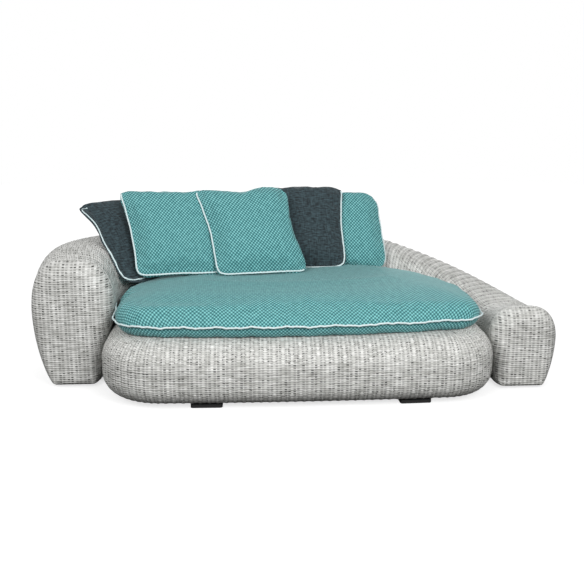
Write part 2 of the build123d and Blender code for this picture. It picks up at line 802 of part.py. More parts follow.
# Each scatter pillow with its piping
for name, size in pillow_sizes.items():
    place = Location((size["x"], size["y"], size["z"])) * Rot(0, 0, size["turn"]) * Rot(-size["lean"], 0, 0)
    with BuildPart() as pillow:
        add(place * pillow_form(size))
    pillow.part.label = name
    export_step(pillow.part, f"parts/{name}.step")
    with BuildPart() as pillow_cord:
        add(place * pillow_piping(size))
    pillow_cord.part.label = f"{name}_piping"
    export_step(pillow_cord.part, f"parts/{name}_piping.step")
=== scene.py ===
"""Garden sofa, dressed: woven skins, sewn and filled cushions, piping, metal and rubber finishes.

All places are in metres, in the CAD frame: X along the sofa, Y from the front to the back, Z up.
"""

import json
import math

import bmesh
import bpy
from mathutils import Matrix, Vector, noise
from mathutils.bvhtree import BVHTree
from mathutils.kdtree import KDTree


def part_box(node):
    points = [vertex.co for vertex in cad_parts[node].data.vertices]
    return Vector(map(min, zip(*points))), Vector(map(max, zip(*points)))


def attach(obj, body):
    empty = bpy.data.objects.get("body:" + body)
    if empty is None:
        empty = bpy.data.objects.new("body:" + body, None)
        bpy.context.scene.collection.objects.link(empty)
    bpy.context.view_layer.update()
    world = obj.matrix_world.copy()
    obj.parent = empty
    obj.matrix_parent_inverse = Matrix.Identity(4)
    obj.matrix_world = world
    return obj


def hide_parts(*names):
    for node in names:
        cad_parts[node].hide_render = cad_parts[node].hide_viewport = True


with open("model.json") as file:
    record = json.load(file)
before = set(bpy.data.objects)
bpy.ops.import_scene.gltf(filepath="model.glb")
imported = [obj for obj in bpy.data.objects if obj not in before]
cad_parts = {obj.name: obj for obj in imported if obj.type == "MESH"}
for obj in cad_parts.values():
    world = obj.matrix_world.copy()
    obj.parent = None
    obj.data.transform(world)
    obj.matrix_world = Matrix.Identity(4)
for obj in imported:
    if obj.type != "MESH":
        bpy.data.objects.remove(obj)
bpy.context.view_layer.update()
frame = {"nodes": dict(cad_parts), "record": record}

# Camera and studio
camera_place = (-0.2385, -4.098, 1.37)
camera_pitch = 13.62
camera_yaw = 3.4
camera_lens = 52.4
sensor_width = 36
stage_radius = 9
stage_sides = 64

# The floor's glow grows from near the sofa to white further out, and goes out right under it
floor_glow = 0.72
glow_start = 1.6
glow_end = 3.2
under_stretch = (1, 2.3, 1)
under_start = 0.85
under_end = 1.05

# Light: the world's strength, and each lamp's name, place, size and power. They all face one point.
world_strength = 0.32
lamp_aim = (0, 0, 0.3)
lamps = (
    ("key", (1.5, -3.7, 2.6), 1.8, 118),
    ("front", (-2.0, -3.5, 2.8), 1.8, 92),
    ("rear", (0.9, 4.4, 2.4), 2.4, 70),
    ("side", (-4.6, 2.2, 2.0), 2.0, 30),
)

# Woven skins
outline_rays = 1440
outline_rise = 0.03
profile_steps = 20
pod_top_roll = 0.128
pod_base_roll = 0.096
pod_lip = 0.06
skin_wall = 0.007
skin_step = 0.006
stake_spacing = 0.038
stake_gap_place = 0.011
stake_gap_width = 0.0072
stake_gap_edge = 0.0036
strand_spacing = 0.0106
strand_gap_width = 0.0034
strand_gap_edge = 0.0012
strand_wander = 0.007
rib_relief = 0.002
section_rays = 132
section_middle = 0.24
low_section_middle = 0.19
low_section_run = 0.6
section_reach = 0.9
ray_slip = 0.0006
ray_clearance = 0.1
weld_distance = 1e-5

# Back line on the floor, from the left arm to the right one
left_line = -1.025
right_line = 1.048
rear_line = 0.472
left_arm_front = -0.29
right_arm_front = -0.43
left_bend_radius = 0.544
right_bend_radius = 0.744
arm_end_round = 0.08
arm_end_steps = 14
arm_face_steps = 10
arm_face_start = 0.0006
arm_half_width = 0.3
arm_flat = 0.03
arm_soft = 0.13
arm_smoothing = 24
arm_face_turn = 0.3
relief_start = 0.14
relief_full = 0.3
relief_middle = 0.25
relief_foot = 0.03

# Sewing: the piping, the grids of the panels and the dots of the cloth
piping_radius = 0.0042
piping_seat_share = 0.9
cushion_step = 0.011
pillow_grid = 44
dot_spacing = 0.0165

# Filling: pressure, the share by which panels are cut larger, and how far a point may move
sim_frames = 20
seat_filling = (3.0, 0.035, 0.012)
pillow_filling = (2.5, 0.03, 0.012)

# Seat cushion: rings from the seam to the spine, which crowd towards the seam
seat_rings = 34
ring_crowding = 1.6
outline_drop = 0.0005
seat_rest = 0.004
seam_reach = 1e-4

# Its two tips, pulled out and up, and its left end, which fills out behind its tip
tip_reach = 0.07
tip_line = -0.13
tip_pull = 0.008
tip_lift = 0.009
ear_reach = 0.008
left_fill = 0.015
left_fill_line = 0.05
left_fill_spread = 0.15

# Its top panel puffs up just inside the seam, by more at the left end
edge_puff = 0.007
left_puff = 0.014
puff_place = 0.07
puff_spread = 0.07

# Its wavy seam: heights and counts of the waves, and the rings over which they fade
slow_wave = 0.0026
slow_waves = 23
small_wave = 0.0014
small_waves = 61
fine_wave = 0.0016
fine_waves = 127
wave_fade = 3.5
piping_waver = 0.0012
piping_wavers = 47

# Pillows: sides and corners drawn in, and the shape of the crown
pillow_draw_in = 0.012
pillow_fullness = 1.08
panel_ease = 0.35
crown_side = 2.6
crown_top = 0.62
corner_line = 0.72
corner_draw = 0.075
corner_bend = 1.3

# Their seams: how far a roll and a corner are smoothed, how far in a roll is felt, and the groove they lie in
roll_window = 4
corner_window = 3
corner_rounds = 2
edge_band = 0.2
edge_end = 0.9999
seam_groove = 0.0035
seam_groove_width = 0.008

# Their puckers along the seams and folds over the panels, and their clearance from the back
pucker_spacing = 0.036
pucker_relief = 0.0016
pucker_fade = 0.03
pucker_drift = 3
pucker_grain = (12, 9)
fold_relief = 0.006
fold_grain = 7
pillow_shift = 40
side_shift = 9
wall_clearance = 0.002
wall_reach = 0.08

# Scatter pillows: where their bottom edges stand, their sizes, and how each slumps sideways, leans and turns.
# An edge's reach past its straight line is given at five places along it, from the left or from the bottom.
# The seam rolls over each edge, to the front above zero and to the back below: bottom, right, top and left.
pillow_sizes = {
    "dark_pillow_left": dict(
        x=-0.659, y=0.061, z=0.446, width=0.39, height=0.415,
        thickness=0.052, slump=-0.088, lean=30, turn=48,
        left=(0.024, 0.03, 0.024, 0.004, 0.03), right=(0, 0, 0, 0, 0),
        top=(0.012, 0.022, 0.024, 0.02, 0.01), bottom=(0.004, 0.012, 0.012, 0.008, 0),
        roll=(0.02, -0.012, -0.022, 0.012),
    ),
    "teal_pillow_right": dict(
        x=0.283, y=0.2335, z=0.4575, width=0.45, height=0.402,
        thickness=0.092, slump=-0.03, lean=24, turn=-6,
        left=(0, 0, 0, 0, 0), right=(0.008, 0.012, 0.006, -0.004, -0.024),
        top=(0, 0.004, 0, -0.002, -0.012), bottom=(0.012, 0.014, 0.014, 0.014, 0.012),
        roll=(-0.012, -0.003, -0.016, -0.012),
    ),
    "dark_pillow_right": dict(
        x=0.065, y=0.155, z=0.4692, width=0.45, height=0.425,
        thickness=0.11, slump=-0.008, lean=25, turn=2,
        left=(0, 0, 0, 0, 0), right=(0.014, 0.018, 0.016, 0.02, 0.024),
        top=(0, 0.004, 0.012, 0.006, 0), bottom=(0.012, 0.014, 0.014, 0.014, 0.01),
        roll=(0.008, 0.013, -0.018, -0.012),
    ),
    "teal_pillow_left": dict(
        x=-0.549, y=-0.03, z=0.472, width=0.455, height=0.438,
        thickness=0.108, slump=-0.05, lean=25, turn=8,
        left=(-0.014, -0.016, -0.012, -0.006, 0.002), right=(0, 0, 0, 0, 0),
        top=(0.004, -0.002, 0.002, -0.006, 0.002), bottom=(0.006, 0.008, 0.006, 0.008, 0.004),
        roll=(0.014, -0.014, -0.018, 0.013),
    ),
    "teal_pillow_middle": dict(
        x=-0.147, y=-0.021, z=0.4694, width=0.455, height=0.445,
        thickness=0.125, slump=-0.08, lean=26, turn=8,
        left=(0, -0.002, -0.006, 0, 0.008), right=(0.016, 0.018, 0.014, 0.016, 0.022),
        top=(0.006, -0.002, -0.006, 0.012, 0.004), bottom=(0.006, 0.008, 0.008, 0.006, 0.004),
        roll=(0.014, -0.014, -0.018, 0.013),
    ),
}


# Materials


def linear(code):
    """An sRGB hex colour as linear red, green and blue, and alpha."""
    values = [int(code[place : place + 2], 16) / 255 for place in (1, 3, 5)]
    return [v / 12.92 if v <= 0.04045 else ((v + 0.055) / 1.055) ** 2.4 for v in values] + [1]


def node(tree, kind, inputs=(), output=0, **settings):
    """Adds a node with its settings and inputs, which are values, hex colours or outputs. Returns an output."""
    made = tree.nodes.new("ShaderNode" + kind)
    for key, value in settings.items():
        setattr(made, key, value)
    for key, value in inputs.items() if isinstance(inputs, dict) else enumerate(inputs):
        if isinstance(value, bpy.types.NodeSocket):
            tree.links.new(value, made.inputs[key])
        else:
            made.inputs[key].default_value = linear(value) if isinstance(value, str) else value
    return made.outputs[output]


def start_finish(name, **values):
    """A material with its shader's plain values set. Returns the material, its tree and its shader."""
    material = bpy.data.materials.new(name)
    material.use_nodes = True
    shader = material.node_tree.nodes["Principled BSDF"]
    for key, value in values.items():
        shader.inputs[key.replace("_", " ")].default_value = value
    return material, material.node_tree, shader


def end_finish(tree, shader, colour, height, strength, depth):
    """Joins a colour, and a height in shares of a depth in metres, to a shader."""
    tree.links.new(colour, shader.inputs["Base Color"])
    bump = node(tree, "Bump", {"Strength": strength, "Distance": depth, "Height": height})
    tree.links.new(bump, shader.inputs["Normal"])


def woven_strand():
    """Flat polyethylene strand woven over pairs of upright stakes.

    Pale melange rows run along the form, with a dark gap between rows on each side of a stake.
    """
    material, tree, shader = start_finish("woven_polyethylene_strand", Roughness=0.6, IOR=1.5)
    run = node(tree, "TexCoord", output=2)
    along = node(tree, "SeparateXYZ", [run])
    climb = node(tree, "TexNoise", {"Vector": run, "Scale": 16, "Detail": 1})
    up = node(tree, "Math", [climb, strand_wander, along.node.outputs[1]], operation="MULTIPLY_ADD")
    across_stake = node(tree, "Math", [along, stake_spacing / 2], operation="PINGPONG")
    from_gap = node(tree, "Math", [across_stake, stake_gap_place], operation="SUBTRACT")
    from_gap = node(tree, "Math", [from_gap], operation="ABSOLUTE")
    column = node(
        tree, "MapRange", [from_gap, stake_gap_width, stake_gap_edge], interpolation_type="SMOOTHSTEP"
    )
    across_row = node(tree, "Math", [up, strand_spacing / 2], operation="PINGPONG")
    row = node(
        tree, "MapRange", [across_row, strand_gap_width, strand_gap_edge], interpolation_type="SMOOTHSTEP"
    )
    cell = node(tree, "Math", [along, stake_spacing / 2], operation="DIVIDE")
    level = node(tree, "Math", [up, strand_spacing], operation="DIVIDE")
    level = node(tree, "Math", [level], operation="ROUND")
    cell = node(tree, "CombineXYZ", [node(tree, "Math", [cell], operation="FLOOR"), level])
    chance = node(tree, "TexWhiteNoise", {"Vector": cell}, noise_dimensions="2D")
    stretch = node(tree, "Mapping", {"Vector": run, "Scale": (16, 110, 1)})
    streak = node(tree, "TexNoise", {"Vector": stretch, "Scale": 1, "Detail": 3})
    patch = node(tree, "TexNoise", {"Vector": run, "Scale": 9, "Detail": 2})
    tone = node(tree, "Math", [patch, 0.35, streak], operation="MULTIPLY_ADD")
    tone = node(tree, "MapRange", [tone, 0.42, 0.93])
    colour = node(tree, "Mix", {0: tone, 6: "#9A9A95", 7: "#EDEDEA"}, 2, data_type="RGBA")
    depth = node(tree, "Math", [chance, 3], operation="POWER")
    depth = node(tree, "MapRange", [depth, 0, 1, 0.25, 1])
    gap = node(tree, "Math", [column, row], operation="MULTIPLY")
    gap = node(tree, "Math", [gap, depth], operation="MULTIPLY")
    seam = node(tree, "Math", [column, 0.12, gap], operation="MULTIPLY_ADD", use_clamp=True)
    colour = node(tree, "Mix", {0: seam, 6: colour, 7: "#3A3A37"}, 2, data_type="RGBA")
    height = node(tree, "MapRange", [across_row, 0, strand_spacing / 2])
    height = node(tree, "Math", [height, gap], operation="SUBTRACT")
    end_finish(tree, shader, colour, height, 0.7, 0.0018)
    return material


def dotted_fabric():
    """Acrylic outdoor cloth of a light and a deep teal yarn, which show as dots in rows half a step apart."""
    material, tree, shader = start_finish(
        "two_tone_acrylic_cloth", Roughness=0.85, IOR=1.45, Sheen_Weight=0.15
    )
    run = node(tree, "TexCoord", output=2)
    turns = 2 * math.pi / dot_spacing
    phase = node(tree, "SeparateXYZ", [node(tree, "Mapping", {"Vector": run, "Scale": (turns, turns, 1)})])
    across = node(tree, "Math", [phase], operation="COSINE")
    up = node(tree, "Math", [phase.node.outputs[1]], operation="COSINE")
    dots = node(tree, "Math", [across, up], operation="MULTIPLY")
    slub = node(tree, "TexNoise", {"Vector": run, "Scale": 45, "Detail": 3})
    slub = node(tree, "Math", [slub, 0.9, -0.45], operation="MULTIPLY_ADD")
    dots = node(tree, "Math", [dots, slub], operation="ADD")
    deep = node(tree, "MapRange", [dots, -0.75, 0.1], interpolation_type="SMOOTHSTEP")
    light = node(tree, "MapRange", [dots, 0.0, 0.85], interpolation_type="SMOOTHSTEP")
    colour = node(tree, "Mix", {0: deep, 6: "#235E61", 7: "#4F8E91"}, 2, data_type="RGBA")
    colour = node(tree, "Mix", {0: light, 6: colour, 7: "#8ACCCC"}, 2, data_type="RGBA")
    end_finish(tree, shader, colour, dots, 0.4, 0.0012)
    return material


def melange_fabric():
    """Acrylic outdoor cloth of slate-blue melange yarn, with fine pale flecks along the weft."""
    material, tree, shader = start_finish("melange_acrylic_cloth", Roughness=0.88, IOR=1.45, Sheen_Weight=0.1)
    run = node(tree, "TexCoord", output=2)
    weft = node(tree, "Mapping", {"Vector": run, "Scale": (40, 150, 1)})
    fleck = node(tree, "TexNoise", {"Vector": weft, "Scale": 1, "Detail": 4})
    warp = node(tree, "Mapping", {"Vector": run, "Scale": (150, 30, 1)})
    thread = node(tree, "TexNoise", {"Vector": warp, "Scale": 1, "Detail": 2})
    tone = node(tree, "Math", [thread, 0.5, fleck], operation="MULTIPLY_ADD")
    shade = node(tree, "MapRange", [tone, 0.58, 0.94])
    colour = node(tree, "Mix", {0: shade, 6: "#0F181C", 7: "#3B4D53"}, 2, data_type="RGBA")
    end_finish(tree, shader, colour, tone, 0.5, 0.001)
    return material


def grained(name, low, high, grain, strength, **values):
    """A finish whose tone and height vary with a fine grain, given as grains in a metre along each axis."""
    material, tree, shader = start_finish(name, **values)
    place = node(tree, "Mapping", {"Vector": node(tree, "TexCoord", output=3), "Scale": grain})
    speckle = node(tree, "TexNoise", {"Vector": place, "Scale": 1, "Detail": 3})
    colour = node(tree, "Mix", {0: speckle, 6: low, 7: high}, 2, data_type="RGBA")
    end_finish(tree, shader, colour, speckle, strength, 0.0005)
    return material


finishes = {
    "weave": woven_strand(),
    "teal_fabric": dotted_fabric(),
    "dark_fabric": melange_fabric(),
    # Near-white acrylic bias tape over a round cord: matt, with a slight twill
    "piping": grained("acrylic_piping_tape", "#B8CCCE", "#E4F1F2", (260,) * 3, 0.4, Roughness=0.8, IOR=1.45),
    # Drawn and anodised aluminium: a satin metal with faint lines along it
    "frame": grained(
        "anodised_aluminium", "#A9ABAD", "#D2D4D6", (500, 500, 40), 0.2, Metallic=1, Roughness=0.38
    ),
    # Moulded rubber: near black, with a dull, slightly pitted surface
    "pad": grained("moulded_rubber", "#0C0C0C", "#222222", (350, 350, 350), 0.5, Roughness=0.7),
    # Polyester webbing: dark, with a fine rib
    "webbing": grained("polyester_webbing", "#17181A", "#2C2D30", (60, 600, 600), 0.6, Roughness=0.85),
    # Stainless steel screws: bright and smooth, with light wear
    "screws": grained("stainless_steel", "#A5A6A8", "#CFD0D2", (900,) * 3, 0.2, Metallic=1, Roughness=0.3),
    # Open-celled foam: pale and pitted
    "foam": grained("quick_dry_foam", "#CFC8B4", "#EFE9D8", (350, 350, 350), 0.8, Roughness=0.95),
    # Knitted zip tape: a finer, darker teal than the cloth
    "zip_tape": grained("knitted_zip_tape", "#2A6A6E", "#3F8487", (800, 800, 800), 0.6, Roughness=0.85),
    # Enamelled zinc: smooth, with a slight sheen
    "zip_metal": grained("enamelled_zinc", "#2A6468", "#357579", (500, 500, 500), 0.1, Roughness=0.35),
}
slots = {entry["node"]: entry["material_slot"] for entry in frame["record"]["subparts"]}
for node_name, cad_object in frame["nodes"].items():
    cad_object.data.materials.clear()
    cad_object.data.materials.append(finishes[slots[node_name]])


# Mesh helpers


def skin_grid(name, columns, rows, place, run, closed_columns, closed_rows):
    """A skin laid over a form: each grid point goes to its place, and its map follows the run in metres."""
    mesh = bpy.data.meshes.new(name)
    cloth = bmesh.new()
    bmesh.ops.create_grid(cloth, x_segments=columns, y_segments=rows, size=0.5)
    cloth.verts.ensure_lookup_table()
    uv_layer = cloth.loops.layers.uv.new("UVMap")
    cells = {}
    for vertex in cloth.verts:
        cells[vertex] = (round((vertex.co.x + 0.5) * columns), round((vertex.co.y + 0.5) * rows))
    for face in cloth.faces:
        middle_row = sum(cells[loop.vert][1] for loop in face.loops) / 4
        for loop in face.loops:
            loop[uv_layer].uv = run(*cells[loop.vert], middle_row)
    for vertex, (column, row) in cells.items():
        vertex.co = place(column % columns if closed_columns else column, row % rows if closed_rows else row)
    if closed_columns or closed_rows:
        bmesh.ops.remove_doubles(cloth, verts=cloth.verts[:], dist=weld_distance)
    bmesh.ops.recalc_face_normals(cloth, faces=cloth.faces[:])
    for face in cloth.faces:
        face.smooth = True
    cloth.to_mesh(mesh)
    cloth.free()
    piece = bpy.data.objects.new(name, mesh)
    bpy.context.scene.collection.objects.link(piece)
    return piece


def dress(piece, slot_name, *replaced):
    """Gives a new piece its finish and its place in the frame."""
    piece.data.materials.append(finishes[slot_name])
    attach(piece, "sofa")
    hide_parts(*replaced)
    return piece


def surface_tree(mesh):
    """A mesh as a tree for finding points on its surface."""
    source = bmesh.new()
    source.from_mesh(mesh)
    tree = BVHTree.FromBMesh(source)
    source.free()
    return tree


def point_tree(points):
    """Points as a tree for finding the nearest one."""
    tree = KDTree(len(points))
    for number, point in enumerate(points):
        tree.insert(point, number)
    tree.balance()
    return tree


def cast(tree, start, way):
    """Where a ray first meets a solid. Three go side by side, because one can slip between two facets."""
    side = way.orthogonal().normalized() * ray_slip
    hits = [tree.ray_cast(start + slip, way)[0] for slip in (Vector(), side, side.cross(way))]
    hits = [hit for hit in hits if hit]
    return min(hits, key=lambda hit: (hit - start).dot(way)) if hits else None


def bridged(points):
    """A closed loop with each missing point set on the straight line between its neighbours.

    Rays that enter by an opening on the underside, where a glide stands, leave such gaps.
    """
    count, whole = len(points), []
    for number, point in enumerate(points):
        if point is None:
            before = next(step for step in range(1, count) if points[number - step] is not None)
            after = next(step for step in range(1, count) if points[(number + step) % count] is not None)
            point = points[number - before].lerp(points[(number + after) % count], before / (before + after))
        whole.append(point)
    return whole


def even_loop(points, count):
    """Points spaced evenly round a closed loop, and the loop's length."""
    lengths = [0.0]
    for first, second in zip(points, points[1:] + points[:1]):
        lengths.append(lengths[-1] + (second - first).length)
    total, spaced, segment = lengths[-1], [], 0
    for number in range(count):
        target = total * number / count
        while lengths[segment + 1] < target:
            segment += 1
        share = (target - lengths[segment]) / (lengths[segment + 1] - lengths[segment])
        spaced.append(points[segment].lerp(points[(segment + 1) % len(points)], share))
    return spaced, total


def outline_of(node_name, height):
    """The outline of a CAD node at a height, seen from above, from rays cast inward."""
    tree, (low, high) = surface_tree(frame["nodes"][node_name].data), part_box(node_name)
    centre = Vector(((low[0] + high[0]) / 2, (low[1] + high[1]) / 2, height))
    found = []
    for number in range(outline_rays):
        angle = 2 * math.pi * number / outline_rays
        direction = Vector((math.cos(angle), math.sin(angle), 0))
        found.append(cast(tree, centre + direction * stage_radius, -direction))
    return found


# Pod: its skin rolls over from the lip round the cushion, down the side and in underneath


def pod_profile():
    """Insets and heights of the pod's outer skin, from the upper lip down and in, and back up its inside."""
    low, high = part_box("pod_weave")
    base, top = low[2], high[2]
    reach = pod_top_roll + pod_lip
    outer = [(reach, top), (pod_top_roll + pod_lip / 2, top)]
    for number in range(profile_steps + 1):
        angle = math.pi / 2 * number / profile_steps
        outer.append((pod_top_roll * (1 - math.sin(angle)), top - pod_top_roll * (1 - math.cos(angle))))
    outer.append((0, (top - pod_top_roll + base + pod_base_roll) / 2))
    for number in range(profile_steps + 1):
        angle = math.pi / 2 * number / profile_steps
        outer.append((pod_base_roll * (1 - math.cos(angle)), base + pod_base_roll * (1 - math.sin(angle))))
    outer += [((pod_base_roll + reach) / 2, base), (reach, base)]
    lowest, highest = base + skin_wall, top - skin_wall
    inner = [(max(inset, skin_wall), min(max(height, lowest), highest)) for inset, height in outer]
    return outer, inner[::-1]


def make_pod_skin():
    """The pod's skin: its profile carried round the outline of the CAD solid, with a rib over each stake."""
    low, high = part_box("pod_weave")
    points = outline_of("pod_weave", low[2] + pod_base_roll + outline_rise)
    count = round(even_loop(points, 1)[1] / skin_step)
    ring, length = even_loop(points, count)
    outward = []
    for number in range(count):
        along = ring[(number + 1) % count] - ring[number - 1]
        outward.append(Vector((along.y, -along.x, 0)).normalized())
    outer, inner = pod_profile()
    profile = outer + inner
    runs = [0.0]
    for first, second in zip(profile, profile[1:]):
        runs.append(runs[-1] + math.dist(first, second))
    runs.append(runs[-1] + skin_wall)
    stakes = round(length / stake_spacing)

    def place(column, row):
        inset, height = profile[row]
        if 0 < row < len(outer) - 1:
            relief = rib_relief * math.cos(2 * math.pi * (column * stakes / count - 0.5))
            (inset_before, height_before), (inset_after, height_after) = profile[row - 1], profile[row + 1]
            step = math.dist(profile[row - 1], profile[row + 1])
            inset += relief * (height_after - height_before) / step
            height -= relief * (inset_after - inset_before) / step
        spot = ring[column] - outward[column] * inset
        return Vector((spot.x, spot.y, height))

    def run(column, row, middle_row):
        return (stake_spacing * stakes * column / count, runs[row])

    skin = skin_grid("pod_skin", count, len(profile), place, run, True, True)
    return dress(skin, "weave", "pod_weave")


def back_point(distance):
    """A point on the back line at a distance from the left arm's end, and the direction there."""
    left_run = rear_line - left_bend_radius - left_arm_front
    left_bend = math.pi / 2 * left_bend_radius
    rear_run = right_line - right_bend_radius - left_line - left_bend_radius
    right_bend = math.pi / 2 * right_bend_radius
    if distance < left_run:
        return Vector((left_line, left_arm_front + distance, 0)), Vector((0, 1, 0))
    distance -= left_run
    if distance < left_bend:
        turn = distance / left_bend_radius
        centre = Vector((left_line + left_bend_radius, rear_line - left_bend_radius, 0))
        reach = Vector((-math.cos(turn), math.sin(turn), 0))
        return centre + reach * left_bend_radius, Vector((math.sin(turn), math.cos(turn), 0))
    distance -= left_bend
    if distance < rear_run:
        return Vector((left_line + left_bend_radius + distance, rear_line, 0)), Vector((1, 0, 0))
    distance -= rear_run
    if distance < right_bend:
        turn = distance / right_bend_radius
        centre = Vector((right_line - right_bend_radius, rear_line - right_bend_radius, 0))
        reach = Vector((math.sin(turn), math.cos(turn), 0))
        return centre + reach * right_bend_radius, Vector((math.cos(turn), -math.sin(turn), 0))
    distance -= right_bend
    return Vector((right_line, rear_line - right_bend_radius - distance, 0)), Vector((0, -1, 0))


def back_length():
    """The back line's whole length."""
    bends = math.pi / 2 * (left_bend_radius + right_bend_radius)
    straight = right_line - right_bend_radius - left_line - left_bend_radius
    sides = 2 * rear_line - left_bend_radius - right_bend_radius - left_arm_front - right_arm_front
    return bends + straight + sides


def make_back_skin():
    """The back's skin: sections cast onto the CAD solid, closed by a face at each arm."""
    tree = surface_tree(frame["nodes"]["back_weave"].data)
    total = back_length()
    body = round((total - 2 * arm_end_round) / skin_step)
    turns = [math.pi / 2 * number / arm_end_steps for number in range(arm_end_steps, 0, -1)]
    ends = [arm_face_start + arm_end_round * (1 - math.sin(turn)) for turn in turns]
    distances = ends + [arm_end_round + (total - 2 * arm_end_round) * n / body for n in range(body + 1)]
    distances += [total - value for value in ends[::-1]]
    loops, frames = [], []
    for distance in distances:
        spot, along = back_point(distance)
        across = Vector((-along.y, along.x, 0))
        low_side = along.y < 0 or distance > total - low_section_run
        centre = spot + Vector((0, 0, low_section_middle if low_side else section_middle))
        hits = []
        for number in range(section_rays * 2):
            angle = -math.pi / 2 + 2 * math.pi * number / (section_rays * 2)
            direction = across * math.cos(angle) + Vector((0, 0, math.sin(angle)))
            hit = cast(tree, centre + direction * section_reach, -direction)
            hits.append(hit if (hit - centre).dot(direction) > 0 else None)
        loop, around = even_loop(bridged(hits), section_rays)
        loops.append((loop, around))
        frames.append((spot, across))
    rows = []
    for end, order in ((0, 1), (-1, -1)):
        loop, around = loops[end]
        middle = sum(loop, Vector()) / len(loop)
        shares = [number / arm_face_steps for number in range(arm_face_steps)]
        inner = [([middle.lerp(point, share) for point in loop], around) for share in shares]
        rows.append(inner[::order])
    loops = rows[0] + loops + rows[1]
    frames = [frames[0]] * arm_face_steps + frames + [frames[-1]] * arm_face_steps
    distances = [distances[0]] * arm_face_steps + distances + [distances[-1]] * arm_face_steps

    def place(column, row):
        point = loops[column][0][row]
        if point.z <= relief_foot:
            return point
        spot = frames[column][0]
        from_end = min(distances[column], total - distances[column])
        grown = min(max((from_end - relief_start) / (relief_full - relief_start), 0), 1)
        relief = grown * rib_relief * math.cos(2 * math.pi * (distances[column] / stake_spacing - 0.5))
        side = Vector((point.x - spot.x, point.y - spot.y, point.z - relief_middle)).normalized()
        return point + side * relief

    def run(column, row, middle_row):
        loop, around = loops[column]
        return (distances[column], around * row / section_rays)

    skin = skin_grid("back_skin", len(loops) - 1, section_rays, place, run, False, True)
    ends = (frames[0][0], frames[-1][0])
    soften_arms(skin, ends)
    straighten_faces(skin, ends)
    return dress(skin, "weave", "back_weave")


def by_arm(place, end, reach):
    """Whether a place is at an arm's end, and no further behind it than the reach."""
    return abs(place.x - end.x) < arm_half_width and place.y < end.y + reach


def soften_arms(skin, ends):
    """Rounds the arms' ends. Their feet are smoothed in plan alone, so that they stay flat."""
    form = bmesh.new()
    form.from_mesh(skin.data)
    near = [vertex for vertex in form.verts if any(by_arm(vertex.co, end, arm_soft) for end in ends)]
    raised = [vertex for vertex in near if vertex.co.z > arm_flat]
    foot = [vertex for vertex in near if vertex.co.z <= arm_flat]
    for number in range(arm_smoothing):
        for verts, upward in ((raised, True), (foot, False)):
            bmesh.ops.smooth_vert(
                form, verts=verts, factor=0.5, use_axis_x=True, use_axis_y=True, use_axis_z=upward
            )
    form.to_mesh(skin.data)
    form.free()


def straighten_faces(skin, ends):
    """On the two arm faces the weave runs straight across and straight up."""
    layer = skin.data.uv_layers["UVMap"].data
    for polygon in skin.data.polygons:
        if -polygon.normal.y < arm_face_turn:
            continue
        if any(by_arm(polygon.center, end, arm_end_round) for end in ends):
            for loop_index in polygon.loop_indices:
                point = skin.data.vertices[skin.data.loops[loop_index].vertex_index].co
                layer[loop_index].uv = (point.x, point.z)


# Cushions


def puff(piece, held, pressure, spare, cap):
    """Fills a sewn cover: some points are held, the panels are cut a little large and air pushes them out."""
    group = piece.vertex_groups.new(name="seam")
    group.add(held, 1.0, "REPLACE")
    start = [vertex.co.copy() for vertex in piece.data.vertices]
    cloth = piece.modifiers.new("filling", "CLOTH")
    settings = cloth.settings
    settings.vertex_group_mass = group.name
    settings.use_pressure = True
    settings.uniform_pressure_force = pressure
    settings.shrink_min = -spare
    settings.effector_weights.gravity = 0
    settings.quality = 6
    settings.tension_stiffness = 18
    settings.compression_stiffness = 12
    settings.bending_stiffness = 0.4
    cloth.point_cache.frame_start = 1
    cloth.point_cache.frame_end = sim_frames
    scene = bpy.context.scene
    for number in range(1, sim_frames + 1):
        scene.frame_set(number)
    shaped = piece.evaluated_get(bpy.context.evaluated_depsgraph_get())
    filled = [vertex.co.copy() for vertex in shaped.data.vertices]
    piece.modifiers.remove(cloth)
    scene.frame_set(1)
    for vertex, before, after in zip(piece.data.vertices, start, filled):
        move = after - before
        if move.length > cap:
            move *= cap / move.length
        vertex.co = before + move


def smooth_finish(piece):
    """Rounds a finished cover with one subdivision."""
    rounding = piece.modifiers.new("rounding", "SUBSURF")
    rounding.levels = 1
    rounding.render_levels = 1


def cord_round(name, points, radius, slot_name, *replaced):
    """A closed cord through some points, as a mesh tube."""
    line = bpy.data.curves.new(name + "_line", "CURVE")
    line.dimensions = "3D"
    line.bevel_depth = radius
    line.bevel_resolution = 3
    line.resolution_u = 2
    spline = line.splines.new("NURBS")
    spline.points.add(len(points) - 1)
    for control, point in zip(spline.points, points):
        control.co = (*point, 1)
    spline.use_cyclic_u = True
    spline.order_u = 3
    curve = bpy.data.objects.new(name + "_line", line)
    bpy.context.scene.collection.objects.link(curve)
    shaped = curve.evaluated_get(bpy.context.evaluated_depsgraph_get())
    mesh = bpy.data.meshes.new_from_object(shaped)
    mesh.name = name
    bpy.data.objects.remove(curve)
    for polygon in mesh.polygons:
        polygon.use_smooth = True
    piece = bpy.data.objects.new(name, mesh)
    bpy.context.scene.collection.objects.link(piece)
    return dress(piece, slot_name, *replaced)


